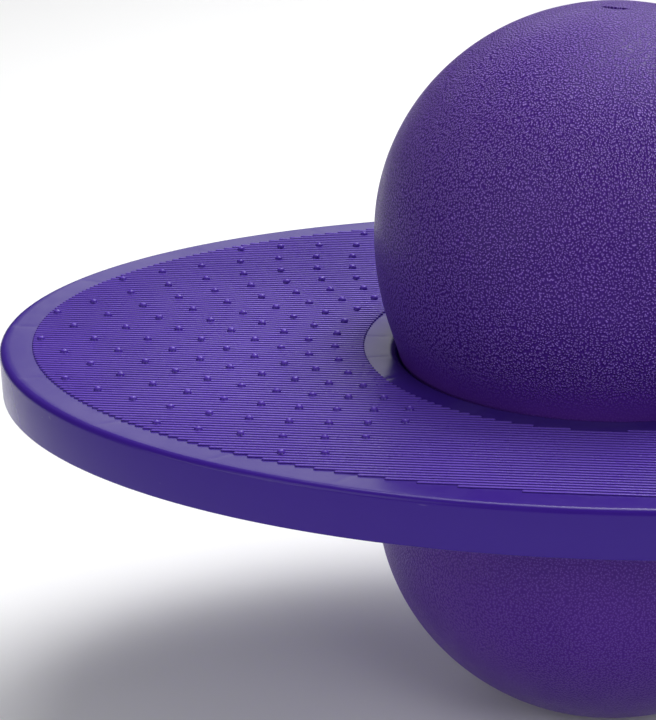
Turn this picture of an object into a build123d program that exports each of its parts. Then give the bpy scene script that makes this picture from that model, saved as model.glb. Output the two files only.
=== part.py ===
from build123d import *
import os
from math import sqrt

# A balance and jumping toy: a hollow two-lobed vinyl ball whose waist is gripped by an oval foot platform.
# The origin is on the floor under the ball, +Z is up and +X runs along the platform's long side.

# Ball, in millimetres
lobe_radius = 76.5  # widest radius of each lobe
lobe_spread = 45  # height of a lobe's widest ring above or below the ball's middle
dome_rise = 73.5  # from the widest ring to the lobe's crown
vinyl_wall = 3.2
resting_radius = 15  # the lower crown flattens this far under the toy's own weight

# Platform
platform_length = 400
platform_width = 284
platform_thickness = 16
platform_drop = 1  # its middle sits this far below the ball's middle
hole_radius = 68.8
collar_edge_radius = 3.5  # rounds both edges of the hole
rim_edge_radius = 2
deck_skin = 3
skirt_wall = 3.2
collar_wall = 5
rib_count = 24
rib_thickness = 2.2
rib_setback = 3  # the ribs end this far above the skirt's lower edge

# Raised grip field between the smooth outer border and the smooth inner band
border_width = 10.7
grip_inner_radius = 80
grip_height = 0.5

# Valve in the upper crown
plug_head_radius = 6.2
plug_head_thickness = 2.2
recess_radius = 6.6
plug_stem_radius = 3.8
stem_clearance = 0.05
plug_stem_length = 9
stem_tip_radius = 1.2
head_edge_radius = 0.5
slot_length = 10
slot_width = 1.6
slot_depth = 1.1
valve_boss_radius = 10
valve_boss_depth = 8.5

# Heights that follow from them
ball_middle = lobe_spread + dome_rise * sqrt(1 - (resting_radius / lobe_radius) ** 2)
ball_top = ball_middle + lobe_spread + dome_rise
platform_middle = ball_middle - platform_drop
deck_bottom = platform_middle - platform_thickness / 2
deck_top = platform_middle + platform_thickness / 2
recess_floor = ball_top - plug_head_thickness
stem_bottom = recess_floor - plug_stem_length

# The waist is straight over this half height, inside the straight land of the platform's collar
waist_half = platform_thickness / 2 - collar_edge_radius - 0.3
# How far the shoulder between lobe and waist keeps its upright direction at each end
shoulder_pull = 24
waist_pull = 7


def shoulder(widest_height, waist_height, inset):
    """The S-shaped curve from a lobe's widest ring in to the waist."""
    way = 1 if widest_height > waist_height else -1
    widest = lobe_radius - inset
    waist = hole_radius - inset
    return Bezier(
        (widest, widest_height),
        (widest, widest_height - way * shoulder_pull),
        (waist, waist_height + way * waist_pull),
        (waist, waist_height),
    )


def ball_section(inset):
    """Half section of the ball on the XZ plane, inset from its outer skin."""
    upper_ring = ball_middle + lobe_spread
    lower_ring = ball_middle - lobe_spread
    waist_top = platform_middle + waist_half
    waist_bottom = platform_middle - waist_half
    across = lobe_radius - inset
    rise = dome_rise - inset
    with BuildSketch(Plane.XZ) as section:
        with BuildLine():
            EllipticalCenterArc((0, upper_ring), across, rise, start_angle=0, arc_size=90)
            shoulder(upper_ring, waist_top, inset)
            Line((hole_radius - inset, waist_top), (hole_radius - inset, waist_bottom))
            shoulder(lower_ring, waist_bottom, inset)
            EllipticalCenterArc((0, lower_ring), across, rise, start_angle=270, arc_size=90)
            Line((0, lower_ring - rise), (0, upper_ring + rise))
        make_face()
    return section.sketch


os.makedirs("parts", exist_ok=True)

# The platform: one moulding with a skin, a skirt, a collar round the hole and ribs underneath
with BuildPart() as platform:
    with BuildSketch(Plane.XY.offset(deck_bottom)):
        Ellipse(platform_length / 2, platform_width / 2)
        Circle(hole_radius, mode=Mode.SUBTRACT)
    extrude(amount=platform_thickness)
    top_edges = platform.faces().sort_by(Axis.Z)[-1].edges().sort_by(SortBy.LENGTH)
    bottom_edges = platform.faces().sort_by(Axis.Z)[0].edges().sort_by(SortBy.LENGTH)
    fillet([top_edges[0], bottom_edges[0]], radius=collar_edge_radius)
    fillet(platform.faces().sort_by(Axis.Z)[-1].edges().sort_by(SortBy.LENGTH)[-1], radius=rim_edge_radius)
    # The underside is hollowed in two steps, first to the ribs' lower edges and then between the ribs
    with BuildSketch(Plane.XY.offset(deck_bottom)):
        Ellipse(platform_length / 2 - skirt_wall, platform_width / 2 - skirt_wall)
        Circle(hole_radius + collar_wall, mode=Mode.SUBTRACT)
    extrude(amount=rib_setback, mode=Mode.SUBTRACT)
    with BuildSketch(Plane.XY.offset(deck_bottom)):
        Ellipse(platform_length / 2 - skirt_wall, platform_width / 2 - skirt_wall)
        Circle(hole_radius + collar_wall, mode=Mode.SUBTRACT)
        with PolarLocations(0, rib_count):
            Rectangle(platform_length, rib_thickness, align=(Align.MIN, Align.CENTER), mode=Mode.SUBTRACT)
    extrude(amount=platform_thickness - deck_skin, mode=Mode.SUBTRACT)
    with BuildSketch(Plane.XY.offset(deck_top)):
        Ellipse(platform_length / 2 - border_width, platform_width / 2 - border_width)
        Circle(grip_inner_radius, mode=Mode.SUBTRACT)
    extrude(amount=grip_height)
platform.part.label = "platform"
export_step(platform.part, "parts/platform.step")

# The ball: one hollow vinyl skin with a thicker boss inside its crown, bored for the valve plug
with BuildPart() as ball:
    revolve(ball_section(0), axis=Axis.Z)
    revolve(ball_section(vinyl_wall), axis=Axis.Z, mode=Mode.SUBTRACT)
    with BuildSketch(Plane.XY.offset(ball_top - valve_boss_depth)):
        Circle(valve_boss_radius)
    extrude(amount=valve_boss_depth - vinyl_wall / 2)
    with BuildSketch(Plane.XY.offset(recess_floor)):
        Circle(recess_radius)
    extrude(amount=2 * plug_head_thickness, mode=Mode.SUBTRACT)
    with BuildSketch(Plane.XY.offset(ball_top - valve_boss_depth)):
        Circle(plug_stem_radius + stem_clearance)
    extrude(amount=valve_boss_depth, mode=Mode.SUBTRACT)
    split(bisect_by=Plane.XY, keep=Keep.TOP)
ball.part.label = "ball"
export_step(ball.part, "parts/ball.step")

# The plug: a round slotted head that lies flush in the crown and a stem that seals the bore
with BuildPart() as valve_plug:
    with BuildSketch(Plane.XY.offset(recess_floor)):
        Circle(plug_head_radius)
    extrude(amount=plug_head_thickness)
    fillet(valve_plug.edges().sort_by(Axis.Z)[-1], radius=head_edge_radius)
    with BuildSketch(Plane.XY.offset(ball_top)):
        SlotOverall(slot_length, slot_width)
    extrude(amount=-slot_depth, mode=Mode.SUBTRACT)
    with BuildSketch(Plane.XY.offset(stem_bottom)):
        Circle(plug_stem_radius)
    extrude(amount=plug_stem_length)
    fillet(valve_plug.edges().sort_by(Axis.Z)[0], radius=stem_tip_radius)
valve_plug.part.label = "valve_plug"
export_step(valve_plug.part, "parts/valve_plug.step")
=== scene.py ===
import math

import bmesh
import bpy
import numpy as np
from mathutils import Matrix, Vector


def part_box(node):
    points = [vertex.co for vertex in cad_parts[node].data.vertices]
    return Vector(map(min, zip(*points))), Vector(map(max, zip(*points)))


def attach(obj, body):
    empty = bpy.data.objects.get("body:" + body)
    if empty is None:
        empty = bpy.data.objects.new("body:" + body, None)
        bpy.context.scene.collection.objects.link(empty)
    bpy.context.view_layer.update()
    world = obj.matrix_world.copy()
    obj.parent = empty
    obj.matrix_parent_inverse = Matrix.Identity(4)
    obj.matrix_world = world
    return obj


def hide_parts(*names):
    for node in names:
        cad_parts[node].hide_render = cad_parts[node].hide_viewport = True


# The looks of a two-lobed inflated ball held in an oval foot platform. Everything is in metres, in the CAD
# frame: the origin is on the floor under the ball, +Z is up and +X runs along the platform's long side.

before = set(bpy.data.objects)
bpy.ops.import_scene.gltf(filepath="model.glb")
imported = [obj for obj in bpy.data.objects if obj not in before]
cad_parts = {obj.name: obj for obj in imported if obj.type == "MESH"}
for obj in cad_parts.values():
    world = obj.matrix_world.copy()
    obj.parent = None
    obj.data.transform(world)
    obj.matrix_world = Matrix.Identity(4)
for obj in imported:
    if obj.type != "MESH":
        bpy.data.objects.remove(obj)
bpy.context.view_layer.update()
platform_low, platform_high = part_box("platform")
_, ball_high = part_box("ball")
plug_low, plug_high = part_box("valve_plug")

MM = 0.001

# Platform
HALF_LENGTH = platform_high.x
HALF_WIDTH = platform_high.y
GRIP_HEIGHT = 0.5 * MM
DECK_TOP = platform_high.z - GRIP_HEIGHT
DECK_BOTTOM = platform_low.z
DECK_MIDDLE = (DECK_TOP + DECK_BOTTOM) / 2
HOLE_RADIUS = 68.8 * MM
COLLAR_EDGE = 3.5 * MM
COLLAR_WALL = 5.0 * MM
RIM_EDGE = 2.0 * MM
RIM_DRAFT = 0.5 * MM
SKIRT_WALL = 3.2 * MM
SKIRT_EDGE = 0.8 * MM
SKIN = 3.0 * MM
INNER_CORNER = 1.0 * MM
RIB_COUNT = 24
RIB_THICKNESS = 2.2 * MM
RIB_TIP_SHARE = 0.36  # half the rib's width at its tip, in rib thicknesses
RIB_SETBACK = 3.0 * MM
NEAR_RIB = 1.5  # degrees to each side of a rib where the mesh is finer
NEAR_STEPS = 21
BETWEEN_STEPS = 14
SINK_DEPTH = 0.09 * MM
SINK_HALF_WIDTH = 1.2 * MM

# Grip field
BORDER_WIDTH = 10.7 * MM
GRIP_INNER_RADIUS = 80.0 * MM
RIDGE_PITCH = 2.04 * MM
RIDGE_WIDTH = 1.30 * MM
RIDGE_SQUARENESS = 0.55  # 1 gives a half-round section, 0 a square one
SEATING = 0.1 * MM  # ridges and bumps start this far inside the skin
BUMP_RINGS = 12
FIRST_BUMP_RING = 89.5 * MM
BUMP_RING_STEP = 8.77 * MM
BUMPS_PER_TURN = 44
BUMP_REACH = 6.5  # how many bump steps a foot area spans to each side of the long axis
BUMP_MARGIN = 2.5 * MM  # between a bump's centre and the edge of the grip field
BUMP_RADIUS = 1.5 * MM
BUMP_HEIGHT = 1.6 * MM

# Ball
LOBE_RADIUS = ball_high.x
LOBE_SPREAD = 45.0 * MM
DOME_RISE = 73.5 * MM
VINYL_WALL = 3.2 * MM
RESTING_RADIUS = 15.0 * MM
RESTING_SOFTNESS = 0.35 * MM
BALL_STEPS = 256
BALL_MIDDLE = LOBE_SPREAD + DOME_RISE * math.sqrt(1 - (RESTING_RADIUS / LOBE_RADIUS) ** 2)
WAIST_HALF = (DECK_TOP - DECK_BOTTOM) / 2 - COLLAR_EDGE - 0.3 * MM
SHOULDER_PULL = 24.0 * MM
WAIST_PULL = 7.0 * MM

# Valve
SEAM = 0.03 * MM  # between the plug's head and the skin round it
PLUG_RADIUS = 6.5 * MM
RECESS_RADIUS = PLUG_RADIUS + SEAM
RECESS_EDGE = 0.06 * MM
RECESS_FLOOR = plug_high.z - 2.2 * MM
BORE_RADIUS = 3.85 * MM
BOSS_RADIUS = 10.0 * MM
BOSS_BOTTOM = plug_high.z - 8.5 * MM
STEM_RADIUS = 3.8 * MM
STEM_BOTTOM = plug_low.z
STEM_TIP_EDGE = 1.4 * MM
STEM_BEADS = 2
BEAD_PITCH = 2.6 * MM
BEAD_RISE = 0.3 * MM
BEAD_HALF_LENGTH = 1.0 * MM
SLOT_REACH = 4.5 * MM
SLOT_HALF_WIDTH = 1.15 * MM
SLOT_DEPTH = 1.3 * MM
SLOT_SETBACK = 1.2 * MM  # of its middle, in front of the plug's axis
SLOT_BOW = 0.8 * MM  # how far its ends lie behind its middle
SLOT_WALL = 0.12 * MM  # how much of its width each of its walls takes
SLOT_TURN = math.radians(-18)

# Surfaces, colours linear
PLATFORM_COLOUR = (0.037, 0.011, 0.225, 1)
PLATFORM_DEEP_COLOUR = (0.031, 0.008, 0.200, 1)
# painted highlight: the paler colour on the tops of the ridges and bumps
PAINTED_HIGHLIGHT_TOP_COLOUR = (0.120, 0.055, 0.465, 1)
# painted shade: the darker colour at the feet of the ridges
PAINTED_SHADE_GROOVE_COLOUR = (0.030, 0.009, 0.165, 1)
SCUFF_COLOUR = (0.200, 0.160, 0.330, 1)
# painted shade: the darker colour at the feet of the bumps
BUMP_FOOT_PAINTED_SHADE_COLOUR = (0.060, 0.024, 0.270, 1)
PLATFORM_IOR = 1.28
SMOOTH_ROUGHNESS = (0.18, 0.27)  # lowest and highest
RIDGE_ROUGHNESS = (0.25, 0.36)
BUMP_ROUGHNESS = (0.20, 0.30)
# RIDGE_RISE and BUMP_RISE span the painted shade at the foot up to the painted highlight on top
RIDGE_RISE = (0.15 * MM, 0.48 * MM)  # heights over the deck between which the colour changes
BUMP_RISE = (0.9 * MM, BUMP_HEIGHT)
PLATFORM_CLOUDS_PER_METRE = 22.0
PLATFORM_CLOUD_AMOUNT = 0.25
PLATFORM_GLOSS_PER_METRE = 60.0
HAZE_PER_METRE = 35.0
HAZE_AMOUNT = (0.03, 0.13)
HAZE_FACING = (0.7, 1.0)  # upward part of the normal, from no haze to all of it
SCRATCHES_PER_METRE = (20, 400, 400)  # along a scratch, and twice across it
SCRATCH_TURN = (0.5, 0.2, 0.6)
SCRATCH_CUT = (0.72, 0.80)  # noise below the first leaves no scratch
SCRATCH_AMOUNT = 0.30
VINYL_COLOUR = (0.085, 0.022, 0.280, 1)
VINYL_DEEP_COLOUR = (0.073, 0.018, 0.255, 1)
# painted shade between the pebbles of the grain
VINYL_PAINTED_SHADE_COLOUR = (0.022, 0.004, 0.110, 1)
# painted highlight on the tips of the pebbles
VINYL_PAINTED_HIGHLIGHT_COLOUR = (0.340, 0.210, 0.690, 1)
VINYL_IOR = 1.26
VINYL_ROUGHNESS = (0.30, 0.38)
VINYL_CLOUDS_PER_METRE = 26.0
VINYL_GLOSS_PER_METRE = 70.0
FLOOR_COLOUR = (0.93, 0.93, 0.935, 1)
FLOOR_DEEP_SHARE = 0.97
FLOOR_TONE = (0.985, 1.0)  # from the deep share to the full colour
FLOOR_TONES_PER_METRE = 3.0
FLOOR_ROUGHNESS = 0.9
FLOOR_REACH = 8.0

# Soft unevenness of a surface: features in a metre, depth and strength
PLATFORM_WAVES = (45.0, 0.20 * MM, 0.6)
PLATFORM_PEEL = (260.0, 0.03 * MM, 0.5)
PLATFORM_FINE = (2600.0, 0.006 * MM, 0.5)
VINYL_WAVES = (120.0, 0.05 * MM, 0.4)

# Leather grain of the vinyl
GRAIN_PER_METRE = 1200.0
GRAIN_WANDER = 2.4 * MM
WANDER_PER_METRE = 180.0
GRAIN_DEPTH = 0.38 * MM
PEBBLE_TIP = 0.10  # distances from a pebble's middle, in pebbles
PEBBLE_FOOT = 0.66
CROWN_EDGE = (0.695, 0.705)  # elevation in radians where the crown's sheet takes over
# painted shade in the hollows of the grain, then painted highlight on its tips
PAINTED_SHADE_TOP = 0.50  # height of the grain under which the colour is darker
PAINTED_SHADE_AMOUNT = 0.50
PAINTED_HIGHLIGHT_RANGE = (0.78, 0.98)  # heights of the grain over which the colour gets paler
PAINTED_HIGHLIGHT_AMOUNT = 0.72
GRAIN_START = 9.0 * MM  # from the deck's middle up and down, where the grain begins
GRAIN_FULL = 26.0 * MM
WAIST_GRAIN = 0.1
# share of the grain on the lower lobe, kept low because that lobe lies in shade under the platform
SHADED_LOWER_LOBE_GRAIN = 0.25
HEAD_GRAIN_START = 1.2 * MM  # under the plug's top
HEAD_GRAIN_FULL = 0.5 * MM

# Camera, measured from the ball's middle
CAMERA_DISTANCE = 1.085
CAMERA_AZIMUTH = math.radians(2.316)
CAMERA_ELEVATION = math.radians(19.84)
CAMERA_ROLL = math.radians(0.903)
CAMERA_PAN = math.radians(4.858)
CAMERA_TILT = math.radians(0.059)
CAMERA_LENS_MM = 166.4
CAMERA_REACH = 50

# Light: each softbox's place, width, height and power in watts
WORLD_STRENGTH = 0.06
LIGHTS = [
    ("key", (0.30, 0.65, 1.25), 0.8, 0.8, 13.5),
    ("top", (0.0, 0.35, 1.5), 0.9, 0.9, 11.3),
    ("front_right", (1.1, -1.3, 0.9), 1.0, 1.0, 13.3),
    ("front_left", (-1.1, -1.3, 0.9), 1.0, 1.0, 5.5),
    ("low_left", (-1.2, -0.8, 0.3), 0.8, 0.4, 2.0),
    ("back", (0.0, 1.6, 0.9), 1.2, 1.0, 4.0),
]


# ---------------------------------------------------------------- mesh building
class Shape:
    """Points and faces that grow loop by loop into closed shells of one mesh."""

    def __init__(self):
        self.points = []
        self.faces = []
        self.slots = []
        self.count = 0

    def add(self, points, faces, slot=0):
        self.points.append(np.asarray(points, float).reshape(-1, 3))
        self.faces.extend([tuple(i + self.count for i in face) for face in faces])
        self.slots.extend([slot] * len(faces))
        self.count += len(self.points[-1])

    def tube(self, loops, closed_path=False, slot=0):
        """Joins loops of equal length into a tube. A loop of one repeated point closes an end."""
        loops = np.asarray(loops, float)
        rows, around = loops.shape[:2]
        faces = []
        for i in range(rows if closed_path else rows - 1):
            a, b = i * around, ((i + 1) % rows) * around
            for j in range(around):
                k = (j + 1) % around
                faces.append((a + j, a + k, b + k, b + j))
        self.add(loops, faces, slot)

    def object(self, name, materials, crease=math.radians(40)):
        mesh = bpy.data.meshes.new(name)
        mesh.from_pydata(np.concatenate(self.points).tolist(), [], self.faces)
        for material in materials:
            mesh.materials.append(material)
        mesh.polygons.foreach_set("material_index", self.slots)
        piece = bpy.data.objects.new(name, mesh)
        bpy.context.scene.collection.objects.link(piece)
        weld(mesh)
        mesh.shade_smooth()
        mesh.set_sharp_from_angle(angle=crease)
        return piece


def weld(mesh):
    """Merges repeated points at the tips, drops faces that collapse there and turns all faces out."""
    grid = bmesh.new()
    grid.from_mesh(mesh)
    bmesh.ops.remove_doubles(grid, verts=grid.verts, dist=1e-7)
    bmesh.ops.dissolve_degenerate(grid, edges=grid.edges, dist=1e-8)
    bmesh.ops.recalc_face_normals(grid, faces=grid.faces)
    grid.to_mesh(mesh)
    grid.free()


def arc(centre_out, centre_up, radius, start, end, steps):
    """Section points (distance outwards, height) on an arc. Angles are in degrees, from outwards to up."""
    angles = np.radians(np.linspace(start, end, steps))
    return [(centre_out + radius * math.cos(a), centre_up + radius * math.sin(a)) for a in angles]


def bezier(p0, p1, p2, p3, steps):
    t = np.linspace(0, 1, steps)[:, None]
    p0, p1, p2, p3 = (np.array(p, float) for p in (p0, p1, p2, p3))
    points = (1 - t) ** 3 * p0 + 3 * t * (1 - t) ** 2 * p1 + 3 * t**2 * (1 - t) * p2 + t**3 * p3
    return [tuple(p) for p in points]


def revolve(shape, section, around, slot=0):
    """Turns a section of (radius, height) points about the ball's axis."""
    turn = np.linspace(0, 2 * math.pi, around, endpoint=False)
    loops = [np.stack([r * np.cos(turn), r * np.sin(turn), np.full(around, z)], 1) for r, z in section]
    shape.tube(loops, slot=slot)


# ---------------------------------------------------------------- platform
def rim_radius(inset, turn):
    """Distance from the axis to the oval that lies inset from the rim, in the direction turn."""
    a, b = HALF_LENGTH - inset, HALF_WIDTH - inset
    return a * b / np.sqrt((b * np.cos(turn)) ** 2 + (a * np.sin(turn)) ** 2)


def platform_directions():
    """Directions round the platform, closer together over each rib, where the skin sinks a little."""
    near = np.linspace(-NEAR_RIB, NEAR_RIB, NEAR_STEPS)
    between = np.linspace(NEAR_RIB, 360 / RIB_COUNT - NEAR_RIB, BETWEEN_STEPS)[1:-1]
    sector = np.concatenate([near, between])
    ribs = np.arange(RIB_COUNT) * 360 / RIB_COUNT
    return np.radians((ribs[:, None] + sector[None]).ravel())


def sink(radius, turn):
    """How far the top skin sinks over the nearest rib."""
    sector = 2 * math.pi / RIB_COUNT
    off = (turn + sector / 2) % sector - sector / 2
    across = radius * np.sin(off)
    return SINK_DEPTH * np.exp(-((across / SINK_HALF_WIDTH) ** 2))


def platform_shell(shape):
    """Skin, skirt and collar as one closed ring of a shell, section point by section point."""
    turn = platform_directions()
    rib_under = DECK_TOP - SKIN
    loops = []

    def by_radius(radius, height, sunk=False):
        r = np.full(len(turn), radius)
        add_loop(r, height, sunk)

    def by_inset(inset, height, sunk=False):
        add_loop(rim_radius(inset, turn), height, sunk)

    def add_loop(r, height, sunk):
        z = np.full(len(turn), height) - (sink(r, turn) if sunk else 0)
        loops.append(np.stack([r * np.cos(turn), r * np.sin(turn), z], 1))

    def across_skin(inner, outer_inset, height, steps, sunk):
        for t in np.linspace(0, 1, steps)[1:-1]:
            add_loop((1 - t) * inner + t * rim_radius(outer_inset, turn), height, sunk)

    hole_edge = HOLE_RADIUS + COLLAR_EDGE
    collar_out = HOLE_RADIUS + COLLAR_WALL
    for radius in np.linspace(hole_edge, GRIP_INNER_RADIUS, 6):
        by_radius(radius, DECK_TOP, sunk=radius > hole_edge)
    across_skin(GRIP_INNER_RADIUS, BORDER_WIDTH, DECK_TOP, 9, sunk=True)
    for inset in np.linspace(BORDER_WIDTH, RIM_EDGE, 6):
        by_inset(inset, DECK_TOP, sunk=inset > RIM_EDGE)
    for out, up in arc(0, 0, RIM_EDGE, 90, 0, 9)[1:]:
        by_inset(RIM_EDGE - out, DECK_TOP - RIM_EDGE + up)
    for out, up in arc(0, 0, SKIRT_EDGE, 0, -90, 5):
        by_inset(RIM_DRAFT + SKIRT_EDGE - out, DECK_BOTTOM + SKIRT_EDGE + up)
    for out, up in arc(0, 0, SKIRT_EDGE, -90, -180, 5):
        by_inset(SKIRT_WALL - SKIRT_EDGE - out, DECK_BOTTOM + SKIRT_EDGE + up)
    for out, up in arc(0, 0, INNER_CORNER, 0, 90, 5):
        by_inset(SKIRT_WALL + INNER_CORNER - out, rib_under - INNER_CORNER + up)
    for t in np.linspace(1, 0, 9)[1:-1]:
        inner = collar_out + INNER_CORNER
        add_loop((1 - t) * inner + t * rim_radius(SKIRT_WALL + INNER_CORNER, turn), rib_under, False)
    for out, up in arc(collar_out + INNER_CORNER, rib_under - INNER_CORNER, INNER_CORNER, 90, 180, 5):
        by_radius(out, up)
    for out, up in arc(collar_out - SKIRT_EDGE, DECK_BOTTOM + SKIRT_EDGE, SKIRT_EDGE, 0, -90, 5):
        by_radius(out, up)
    for out, up in arc(hole_edge, DECK_BOTTOM + COLLAR_EDGE, COLLAR_EDGE, 270, 180, 9):
        by_radius(out, up)
    for out, up in arc(hole_edge, DECK_TOP - COLLAR_EDGE, COLLAR_EDGE, 180, 90, 9)[:-1]:
        by_radius(out, up)
    shape.tube(loops, closed_path=True)


def platform_ribs(shape):
    """Radial ribs under the skin, each a closed bar whose ends lie inside the collar and the skirt."""
    top = DECK_TOP - SKIN / 2
    tip = DECK_BOTTOM + RIB_SETBACK
    root, edge = RIB_THICKNESS / 2, RIB_THICKNESS * RIB_TIP_SHARE
    rib_under = DECK_TOP - SKIN
    section = [(-root - 1.0 * MM, top), (-root - 1.0 * MM, rib_under - 0.05 * MM)]
    section += [(-root - 0.3 * MM, rib_under - 0.3 * MM), (-root, rib_under - 1.0 * MM)]
    section += [(-edge, tip + 0.5 * MM), (-edge + 0.4 * MM, tip)]
    section += [(-across, height) for across, height in reversed(section)]
    for i in range(RIB_COUNT):
        direction = 2 * math.pi * i / RIB_COUNT
        along = np.array([math.cos(direction), math.sin(direction), 0])
        side = np.array([-along[1], along[0], 0])
        up = np.array([0, 0, 1])
        inner = HOLE_RADIUS + COLLAR_WALL / 2
        outer = float(rim_radius(SKIRT_WALL / 2 + RIM_DRAFT, direction))
        ends = []
        for reach in (inner, outer):
            ends.append([along * reach + side * across + up * height for across, height in section])
        middle = [np.mean(end, axis=0) for end in ends]
        around = len(section)
        shape.tube([[middle[0]] * around, ends[0], ends[1], [middle[1]] * around])


def ridge(shape, y, x_from, x_to):
    """One grip ridge: a bar with a soft-cornered top and rounded ends, lying along X."""
    half = RIDGE_WIDTH / 2
    base = DECK_TOP - SEATING
    height = GRIP_HEIGHT + SEATING
    turns = np.radians(np.linspace(0, 180, 10))
    across = half * np.sign(np.cos(turns)) * np.abs(np.cos(turns)) ** RIDGE_SQUARENESS
    rise = height * np.abs(np.sin(turns)) ** RIDGE_SQUARENESS
    rings = {1: [], -1: []}
    for a in np.radians([0, 25, 50, 90]):
        size = math.sin(a)
        for tip, inward in ((x_from, 1), (x_to, -1)):
            x = np.full(len(turns), tip + inward * half * (1 - math.cos(a)))
            rings[inward].append(np.stack([x, y + size * across, base + size**0.5 * rise], 1))
    shape.tube(rings[1] + rings[-1][::-1], slot=1)


def ridges(shape):
    """Ridges at an even pitch, each cut to the field between the outer border and the inner band."""
    a, b = HALF_LENGTH - BORDER_WIDTH, HALF_WIDTH - BORDER_WIDTH
    rows = int(b / RIDGE_PITCH)
    for i in range(-rows, rows + 1):
        y = i * RIDGE_PITCH
        reach = a * math.sqrt(max(0, 1 - (y / b) ** 2))
        if reach < 4 * RIDGE_WIDTH:
            continue
        if abs(y) < GRIP_INNER_RADIUS:
            inner = math.sqrt(GRIP_INNER_RADIUS**2 - y**2)
            ridge(shape, y, -reach, -inner)
            ridge(shape, y, inner, reach)
        else:
            ridge(shape, y, -reach, reach)


def bump_places():
    """Places of the bumps: rings about the ball's axis, staggered, within the two foot areas."""
    a, b = HALF_LENGTH - BORDER_WIDTH - BUMP_MARGIN, HALF_WIDTH - BORDER_WIDTH - BUMP_MARGIN
    step = 2 * math.pi / BUMPS_PER_TURN
    most = math.ceil(BUMP_REACH)
    places = []
    for ring in range(BUMP_RINGS):
        radius = FIRST_BUMP_RING + ring * BUMP_RING_STEP
        shift = 0.5 * (ring % 2)
        for n in range(-most, most + 1):
            if abs(n + shift) > BUMP_REACH:
                continue
            x = radius * math.cos((n + shift) * step)
            y = radius * math.sin((n + shift) * step)
            if (x / a) ** 2 + (y / b) ** 2 <= 1:
                places += [(x, y), (-x, y)]
    return places


def bumps(shape):
    """Small domes that stand through the ridges."""
    around = 16
    turn = np.linspace(0, 2 * math.pi, around, endpoint=False)
    section = [(1.0, 0.0), (0.97, 0.22), (0.86, 0.50), (0.66, 0.76), (0.38, 0.94), (0.16, 0.99), (0.0, 1.0)]
    base = DECK_TOP - SEATING
    for x, y in bump_places():
        loops = [[(x, y, base)] * around]
        for share, rise in section:
            r = BUMP_RADIUS * share
            z = base + (BUMP_HEIGHT + SEATING) * rise
            loops.append(np.stack([x + r * np.cos(turn), y + r * np.sin(turn), np.full(around, z)], 1))
        shape.tube(loops, slot=2)


def make_platform(materials):
    shape = Shape()
    platform_shell(shape)
    platform_ribs(shape)
    ridges(shape)
    bumps(shape)
    piece = shape.object("platform_moulding", materials)
    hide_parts("platform")
    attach(piece, "hopper")


# ---------------------------------------------------------------- ball
def shoulder(widest_height, waist_height, inset, steps):
    """The S-shaped stretch of the ball's section from a lobe's widest ring in to the waist."""
    way = 1 if widest_height > waist_height else -1
    widest, waist = LOBE_RADIUS - inset, HOLE_RADIUS - inset
    return bezier(
        (widest, widest_height),
        (widest, widest_height - way * SHOULDER_PULL),
        (waist, waist_height + way * WAIST_PULL),
        (waist, waist_height),
        steps,
    )


def dome(centre, inset, start, end, steps):
    """A stretch of a lobe's crown. The angle is 0 at the widest ring and 90 at the pole."""
    across, rise = LOBE_RADIUS - inset, DOME_RISE - inset
    angles = np.radians(np.linspace(start, end, steps))
    return [(across * math.cos(a), centre + rise * math.sin(a)) for a in angles]


def crown_height(radius):
    """Height of the upper lobe's outer skin at a distance from the axis."""
    return BALL_MIDDLE + LOBE_SPREAD + DOME_RISE * math.sqrt(1 - (radius / LOBE_RADIUS) ** 2)


def skin_section(inset, fine, pole_radius):
    """Section of the skin from under the lower crown up to a hole of pole_radius in the upper one."""
    upper, lower = BALL_MIDDLE + LOBE_SPREAD, BALL_MIDDLE - LOBE_SPREAD
    pole_angle = math.degrees(math.acos(pole_radius / (LOBE_RADIUS - inset)))
    points = dome(lower, inset, -89.9, 0, int(64 * fine))
    points += shoulder(lower, DECK_MIDDLE - WAIST_HALF, inset, int(40 * fine))[1:]
    points += [(HOLE_RADIUS - inset, DECK_MIDDLE)]
    points += shoulder(upper, DECK_MIDDLE + WAIST_HALF, inset, int(40 * fine))[::-1]
    points += dome(upper, inset, 0, pole_angle, int(64 * fine))[1:]
    return points


def settle(section):
    """Flattens the lower crown on the floor, with a soft edge round the flat."""
    low = 5 * MM
    soft = RESTING_SOFTNESS**2
    return [(r, 0.5 * (z + math.sqrt(z * z + soft)) if z < low else z) for r, z in section]


def make_ball(material):
    outer = settle([(0.0, 0.0)] + skin_section(0, 1.5, RECESS_RADIUS + RECESS_EDGE))
    edge_height = outer[-1][1]
    corner, bore_edge, boss_edge = 0.3 * MM, 0.4 * MM, 0.8 * MM
    valve = arc(RECESS_RADIUS + RECESS_EDGE, edge_height - RECESS_EDGE, RECESS_EDGE, 90, 180, 5)[1:]
    valve += arc(RECESS_RADIUS - corner, RECESS_FLOOR + corner, corner, 0, -90, 4)
    valve += arc(BORE_RADIUS + corner, RECESS_FLOOR - corner, corner, 90, 180, 4)
    valve += arc(BORE_RADIUS + bore_edge, BOSS_BOTTOM + bore_edge, bore_edge, 180, 270, 4)
    valve += arc(BOSS_RADIUS - boss_edge, BOSS_BOTTOM + boss_edge, boss_edge, 270, 360, 4)
    cavity = skin_section(VINYL_WALL, 0.5, BOSS_RADIUS)[::-1]
    shape = Shape()
    revolve(shape, outer + valve + cavity + [(0.0, cavity[-1][1])], BALL_STEPS)
    piece = shape.object("ball_skin", [material])
    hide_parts("ball")
    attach(piece, "hopper")


def slot_depth(x, y):
    """Depth of the curved slot in the plug's head that a coin or fingernail goes into."""
    u = x * math.cos(SLOT_TURN) + y * math.sin(SLOT_TURN)
    v = y * math.cos(SLOT_TURN) - x * math.sin(SLOT_TURN)
    along = np.clip(np.abs(u) / SLOT_REACH, 0, 1)
    half = SLOT_HALF_WIDTH * np.sqrt(1 - along**2)
    off = np.abs(v + SLOT_SETBACK - SLOT_BOW * along**2)
    inside = np.clip((half - off) / SLOT_WALL + 0.5, 0, 1)
    return SLOT_DEPTH * inside**2 * (3 - 2 * inside)


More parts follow.
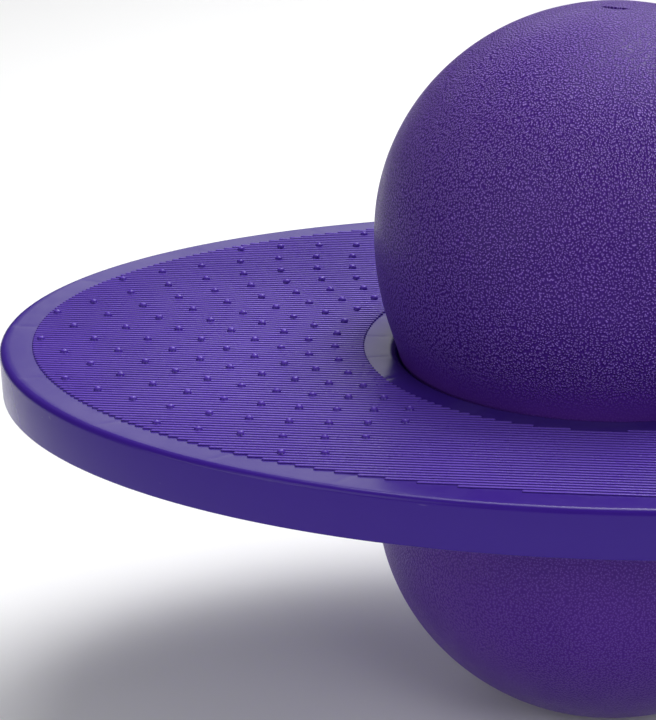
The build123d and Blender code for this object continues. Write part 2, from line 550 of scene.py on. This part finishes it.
def make_plug(material):
    """Stopper whose head carries on the ball's crown, with a slot in the head and a beaded stem."""
    edge = RECESS_EDGE
    rim_height = crown_height(PLUG_RADIUS)
    head = [(r, crown_height(r)) for r in np.linspace(0, PLUG_RADIUS - edge, 60)]
    section = arc(PLUG_RADIUS - edge, rim_height - edge, edge, 90, 0, 4)[1:]
    section += arc(PLUG_RADIUS - 0.3 * MM, RECESS_FLOOR + 0.35 * MM, 0.3 * MM, 0, -90, 4)
    section.append((STEM_RADIUS - 0.1 * MM, RECESS_FLOOR + 0.05 * MM))
    section.append((STEM_RADIUS - 0.2 * MM, RECESS_FLOOR - 0.8 * MM))
    waist = STEM_RADIUS - BEAD_RISE
    for bead in range(STEM_BEADS):
        middle = RECESS_FLOOR - (1 + bead) * BEAD_PITCH
        for t in np.linspace(-1, 1, 9):
            swell = BEAD_RISE * math.cos(t * math.pi / 2)
            section.append((waist + swell, middle - t * BEAD_HALF_LENGTH))
    section += arc(waist - STEM_TIP_EDGE, STEM_BOTTOM + STEM_TIP_EDGE, STEM_TIP_EDGE, 0, -90, 6)
    section.append((0.0, STEM_BOTTOM))
    shape = Shape()
    around = 160
    turn = np.linspace(0, 2 * math.pi, around, endpoint=False)
    loops = []
    for index, (r, z) in enumerate(head + section):
        x, y = r * np.cos(turn), r * np.sin(turn)
        sunk = slot_depth(x, y) if index < len(head) else 0
        loops.append(np.stack([x, y, np.full(around, z) - sunk], 1))
    shape.tube(loops)
    piece = shape.object("valve_stopper", [material])
    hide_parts("valve_plug")
    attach(piece, "plug")


# ---------------------------------------------------------------- materials
def new_material(name):
    material = bpy.data.materials.new(name)
    material.use_nodes = True
    tree = material.node_tree
    shader = tree.nodes["Principled BSDF"]
    place = tree.nodes.new("ShaderNodeTexCoord")
    return material, tree, shader, place.outputs["Object"]


def node(tree, kind, inputs=(), **settings):
    """A node with its settings and inputs. An input's value is a socket to link or a constant."""
    made = tree.nodes.new(kind)
    for name, value in settings.items():
        setattr(made, name, value)
    for name, value in inputs:
        socket = made.inputs[name]
        if isinstance(value, bpy.types.NodeSocket):
            tree.links.new(value, socket)
        else:
            socket.default_value = value
    return made


def math_node(tree, operation, first, second=0.0, third=0.0):
    inputs = [(0, first), (1, second), (2, third)]
    return node(tree, "ShaderNodeMath", inputs, operation=operation).outputs[0]


def noise(tree, place, scale, detail=3.0, roughness=0.5):
    inputs = [("Vector", place), ("Scale", scale), ("Detail", detail), ("Roughness", roughness)]
    return node(tree, "ShaderNodeTexNoise", inputs).outputs[0]


def ramp(tree, value, low, high, out_low=0.0, out_high=1.0):
    """Smooth step of value from low to high."""
    inputs = [("Value", value), ("From Min", low), ("From Max", high)]
    inputs += [("To Min", out_low), ("To Max", out_high)]
    return node(tree, "ShaderNodeMapRange", inputs, interpolation_type="SMOOTHSTEP").outputs[0]


def mix_colour(tree, factor, first, second):
    mixed = node(tree, "ShaderNodeMix", data_type="RGBA")
    for index, value in ((0, factor), (6, first), (7, second)):
        if isinstance(value, bpy.types.NodeSocket):
            tree.links.new(value, mixed.inputs[index])
        else:
            mixed.inputs[index].default_value = value
    return mixed.outputs[2]


def bump(tree, height, distance, strength=1.0, under=None):
    inputs = [("Height", height), ("Distance", distance), ("Strength", strength)]
    if under is not None:
        inputs.append(("Normal", under))
    return node(tree, "ShaderNodeBump", inputs).outputs[0]


def relief(tree, place, layer, under=None):
    """A normal for soft unevenness: layer holds its features in a metre, depth and strength."""
    per_metre, depth, strength = layer
    return bump(tree, noise(tree, place, per_metre, 2.0), depth, strength, under)


def scuffs(tree, place):
    """How much paler use has left the plastic: a haze on what faces up, and short fine scratches."""
    facing = node(tree, "ShaderNodeNewGeometry").outputs["Normal"]
    parts = node(tree, "ShaderNodeSeparateXYZ", [("Vector", facing)])
    upward = ramp(tree, parts.outputs["Z"], *HAZE_FACING)
    haze = ramp(tree, noise(tree, place, HAZE_PER_METRE, 5.0, 0.6), 0.35, 0.75, *HAZE_AMOUNT)
    inputs = [("Vector", place), ("Rotation", SCRATCH_TURN), ("Scale", SCRATCHES_PER_METRE)]
    drawn = node(tree, "ShaderNodeMapping", inputs)
    streaks = noise(tree, drawn.outputs[0], 1.0, 2.0)
    scratch = ramp(tree, streaks, *SCRATCH_CUT, 0.0, SCRATCH_AMOUNT)
    return math_node(tree, "MULTIPLY_ADD", haze, upward, scratch)


def platform_material(name, shaded_low_colour, lit_high_colour, rise, roughness):
    """Coloured moulded plastic: faint cloudiness, slightly uneven gloss, a wavy skin and fine scuffs.

    The colour goes from the low colour, a painted shade, to the high colour, a painted highlight, over the
    heights in rise, measured from the deck's skin.
    """
    material, tree, shader, place = new_material(name)
    height = node(tree, "ShaderNodeSeparateXYZ", [("Vector", place)]).outputs["Z"]
    # painted shading by height: darker at the foot, paler on top
    raised = ramp(tree, height, DECK_TOP + rise[0], DECK_TOP + rise[1])
    shade = mix_colour(tree, raised, shaded_low_colour, lit_high_colour)
    patches = noise(tree, place, PLATFORM_CLOUDS_PER_METRE, 4.0)
    cloud = ramp(tree, patches, 0.3, 0.7, 0.0, PLATFORM_CLOUD_AMOUNT)
    clouded = mix_colour(tree, cloud, shade, PLATFORM_DEEP_COLOUR)
    scuffed = mix_colour(tree, scuffs(tree, place), clouded, SCUFF_COLOUR)
    tree.links.new(scuffed, shader.inputs["Base Color"])
    gloss = noise(tree, place, PLATFORM_GLOSS_PER_METRE, 5.0, 0.6)
    tree.links.new(ramp(tree, gloss, 0.3, 0.75, *roughness), shader.inputs["Roughness"])
    waves = relief(tree, place, PLATFORM_WAVES)
    peel = relief(tree, place, PLATFORM_PEEL, waves)
    fine = relief(tree, place, PLATFORM_FINE, peel)
    tree.links.new(fine, shader.inputs["Normal"])
    shader.inputs["IOR"].default_value = PLATFORM_IOR
    return material


def pebbles(tree, across, up, warp):
    """Rounded pebbles on a sheet, from 0 between them to 1 on their tips."""
    flat = node(tree, "ShaderNodeCombineXYZ", [("X", across), ("Y", up)]).outputs[0]
    moved = node(tree, "ShaderNodeVectorMath", [(0, flat), (1, warp)], operation="ADD").outputs[0]
    inputs = [("Vector", moved), ("Scale", GRAIN_PER_METRE)]
    cells = node(tree, "ShaderNodeTexVoronoi", inputs, feature="F1", voronoi_dimensions="2D")
    return ramp(tree, cells.outputs["Distance"], PEBBLE_TIP, PEBBLE_FOOT, 1.0, 0.0)


def grain_height(tree, place):
    """Leather grain: pebbles about a millimetre across, drawn out one way here and another way there.

    The sides carry one sheet of pebbles wrapped round them, and each crown another one centred on its pole.
    """
    apart = node(tree, "ShaderNodeSeparateXYZ", [("Vector", place)])
    x, y, z = apart.outputs
    from_middle = math_node(tree, "ABSOLUTE", math_node(tree, "SUBTRACT", z, BALL_MIDDLE))
    above = math_node(tree, "SUBTRACT", from_middle, LOBE_SPREAD)
    flat = node(tree, "ShaderNodeCombineXYZ", [("X", x), ("Y", y)]).outputs[0]
    out = node(tree, "ShaderNodeVectorMath", [(0, flat)], operation="LENGTH").outputs["Value"]
    elevation = math_node(tree, "ARCTAN2", above, out)
    azimuth = math_node(tree, "ARCTAN2", x, math_node(tree, "MULTIPLY", y, -1.0))
    inputs = [("Vector", place), ("Scale", WANDER_PER_METRE), ("Detail", 1.0)]
    wander = node(tree, "ShaderNodeTexNoise", inputs)
    inputs = [(0, wander.outputs["Color"]), ("Scale", GRAIN_WANDER)]
    warp = node(tree, "ShaderNodeVectorMath", inputs, operation="SCALE").outputs[0]
    round_side = math_node(tree, "MULTIPLY", azimuth, LOBE_RADIUS)
    up_side = math_node(tree, "MULTIPLY", elevation, LOBE_RADIUS)
    side = pebbles(tree, round_side, up_side, warp)
    from_pole = math_node(tree, "MULTIPLY_ADD", elevation, -LOBE_RADIUS, LOBE_RADIUS * math.pi / 2)
    cap_x = math_node(tree, "MULTIPLY", from_pole, math_node(tree, "SINE", azimuth))
    cap_y = math_node(tree, "MULTIPLY", from_pole, math_node(tree, "COSINE", azimuth))
    cap = pebbles(tree, cap_x, cap_y, warp)
    near_pole = ramp(tree, elevation, *CROWN_EDGE)
    inputs = [(0, near_pole), (2, side), (3, cap)]
    return node(tree, "ShaderNodeMix", inputs, data_type="FLOAT").outputs[0]


def vinyl_material(name, grain_share):
    """Soft glossy vinyl with pebbles, with painted shade between them and a painted highlight on their
    tips.

    grain_share gives, from the height, how much of the moulded grain shows there.
    """
    material, tree, shader, place = new_material(name)
    cloud = ramp(tree, noise(tree, place, VINYL_CLOUDS_PER_METRE, 4.0), 0.3, 0.7)
    colour = mix_colour(tree, cloud, VINYL_DEEP_COLOUR, VINYL_COLOUR)
    grain = grain_height(tree, place)
    height = node(tree, "ShaderNodeSeparateXYZ", [("Vector", place)]).outputs["Z"]
    shown = grain_share(tree, height)
    # painted shade between the pebbles
    low = ramp(tree, grain, 0.0, PAINTED_SHADE_TOP, PAINTED_SHADE_AMOUNT, 0.0)
    painted_shade = math_node(tree, "MULTIPLY", low, shown)
    # painted highlight on the tips of the pebbles
    high = ramp(tree, grain, *PAINTED_HIGHLIGHT_RANGE, 0.0, PAINTED_HIGHLIGHT_AMOUNT)
    tip = math_node(tree, "MULTIPLY", high, shown)
    body = mix_colour(tree, painted_shade, colour, VINYL_PAINTED_SHADE_COLOUR)
    tree.links.new(mix_colour(tree, tip, body, VINYL_PAINTED_HIGHLIGHT_COLOUR), shader.inputs["Base Color"])
    gloss = noise(tree, place, VINYL_GLOSS_PER_METRE, 4.0)
    tree.links.new(ramp(tree, gloss, 0.3, 0.7, *VINYL_ROUGHNESS), shader.inputs["Roughness"])
    soft = relief(tree, place, VINYL_WAVES)
    raised = bump(tree, math_node(tree, "MULTIPLY", grain, shown), GRAIN_DEPTH, 1.0, soft)
    tree.links.new(raised, shader.inputs["Normal"])
    shader.inputs["IOR"].default_value = VINYL_IOR
    return material


def ball_grain_share(tree, height):
    """The grain fades out near the waist, where the skin is smooth, and shows less on the lower lobe, which
    lies in shade under the platform, so that its painted shade and highlight and its bumps are fainter
    there.
    """
    upper = ramp(tree, height, DECK_MIDDLE + GRAIN_START, DECK_MIDDLE + GRAIN_FULL, WAIST_GRAIN, 1.0)
    lower = ramp(tree, height, DECK_MIDDLE - GRAIN_FULL, DECK_MIDDLE - GRAIN_START, SHADED_LOWER_LOBE_GRAIN, 0.0)
    return math_node(tree, "ADD", upper, lower)


def plug_grain_share(tree, height):
    """Only the plug's head has the grain."""
    return ramp(tree, height, plug_high.z - HEAD_GRAIN_START, plug_high.z - HEAD_GRAIN_FULL)


def floor_material():
    material, tree, shader, place = new_material("floor_paper")
    tone = ramp(tree, noise(tree, place, FLOOR_TONES_PER_METRE, 2.0), 0.2, 0.8, *FLOOR_TONE)
    deep = tuple(c * FLOOR_DEEP_SHARE for c in FLOOR_COLOUR[:3]) + (1,)
    tree.links.new(mix_colour(tree, tone, deep, FLOOR_COLOUR), shader.inputs["Base Color"])
    shader.inputs["Roughness"].default_value = FLOOR_ROUGHNESS
    return material


# ---------------------------------------------------------------- studio
def make_floor():
    size = FLOOR_REACH
    mesh = bpy.data.meshes.new("floor")
    corners = [(-size, -size, 0), (size, -size, 0), (size, size, 0), (-size, size, 0)]
    mesh.from_pydata(corners, [], [(0, 1, 2, 3)])
    mesh.materials.append(floor_material())
    floor = bpy.data.objects.new("floor", mesh)
    bpy.context.scene.collection.objects.link(floor)


def softbox(name, place, aim, width, height, power):
    light = bpy.data.lights.new(name, "AREA")
    light.shape = "RECTANGLE"
    light.size = width
    light.size_y = height
    light.energy = power
    holder = bpy.data.objects.new(name, light)
    bpy.context.scene.collection.objects.link(holder)
    holder.location = place
    holder.rotation_euler = (Vector(aim) - Vector(place)).to_track_quat("-Z", "Y").to_euler()


def make_lights():
    world = bpy.data.worlds.new("studio")
    bpy.context.scene.world = world
    world.use_nodes = True
    background = world.node_tree.nodes["Background"]
    background.inputs["Color"].default_value = (1.0, 1.0, 1.0, 1)
    background.inputs["Strength"].default_value = WORLD_STRENGTH
    centre = (0, 0, BALL_MIDDLE)
    for name, place, width, height, power in LIGHTS:
        softbox(name, place, centre, width, height, power)


def make_camera():
    """Aimed at the ball's middle, then panned, tilted and rolled so that the object is cropped as asked."""
    middle = Vector((0, 0, BALL_MIDDLE))
    level = math.cos(CAMERA_ELEVATION)
    rise = math.sin(CAMERA_ELEVATION)
    back = Vector((math.sin(CAMERA_AZIMUTH) * level, -math.cos(CAMERA_AZIMUTH) * level, rise))
    forward = -back
    right = forward.cross(Vector((0, 0, 1))).normalized()
    up = right.cross(forward)
    turn = Matrix.Rotation(-CAMERA_ROLL, 3, forward)
    right, up = turn @ right, turn @ up
    turn = Matrix.Rotation(CAMERA_PAN, 3, up)
    forward, right = turn @ forward, turn @ right
    turn = Matrix.Rotation(CAMERA_TILT, 3, right)
    forward, up = turn @ forward, turn @ up
    camera = bpy.data.objects.new("camera", bpy.data.cameras.new("camera"))
    bpy.context.scene.collection.objects.link(camera)
    axes = Matrix((right, up, -forward)).transposed().to_4x4()
    camera.matrix_world = Matrix.Translation(middle + back * CAMERA_DISTANCE) @ axes
    camera.data.lens = CAMERA_LENS_MM
    camera.data.clip_end = CAMERA_REACH
    bpy.context.scene.camera = camera


make_camera()
make_lights()
make_floor()
bpy.context.scene.view_settings.view_transform = "Standard"

flat_rise = (0, GRIP_HEIGHT)
smooth = platform_material("platform_gloss", PLATFORM_COLOUR, PLATFORM_COLOUR, flat_rise, SMOOTH_ROUGHNESS)
# the ridges and bumps get painted shade at their feet and a painted highlight on their tops
ridged = platform_material("platform_ridge", PAINTED_SHADE_GROOVE_COLOUR, PAINTED_HIGHLIGHT_TOP_COLOUR, RIDGE_RISE, RIDGE_ROUGHNESS)
bumped = platform_material("platform_bump", BUMP_FOOT_PAINTED_SHADE_COLOUR, PAINTED_HIGHLIGHT_TOP_COLOUR, BUMP_RISE, BUMP_ROUGHNESS)
make_platform([smooth, ridged, bumped])
make_ball(vinyl_material("ball_vinyl", ball_grain_share))
make_plug(vinyl_material("plug_vinyl", plug_grain_share))
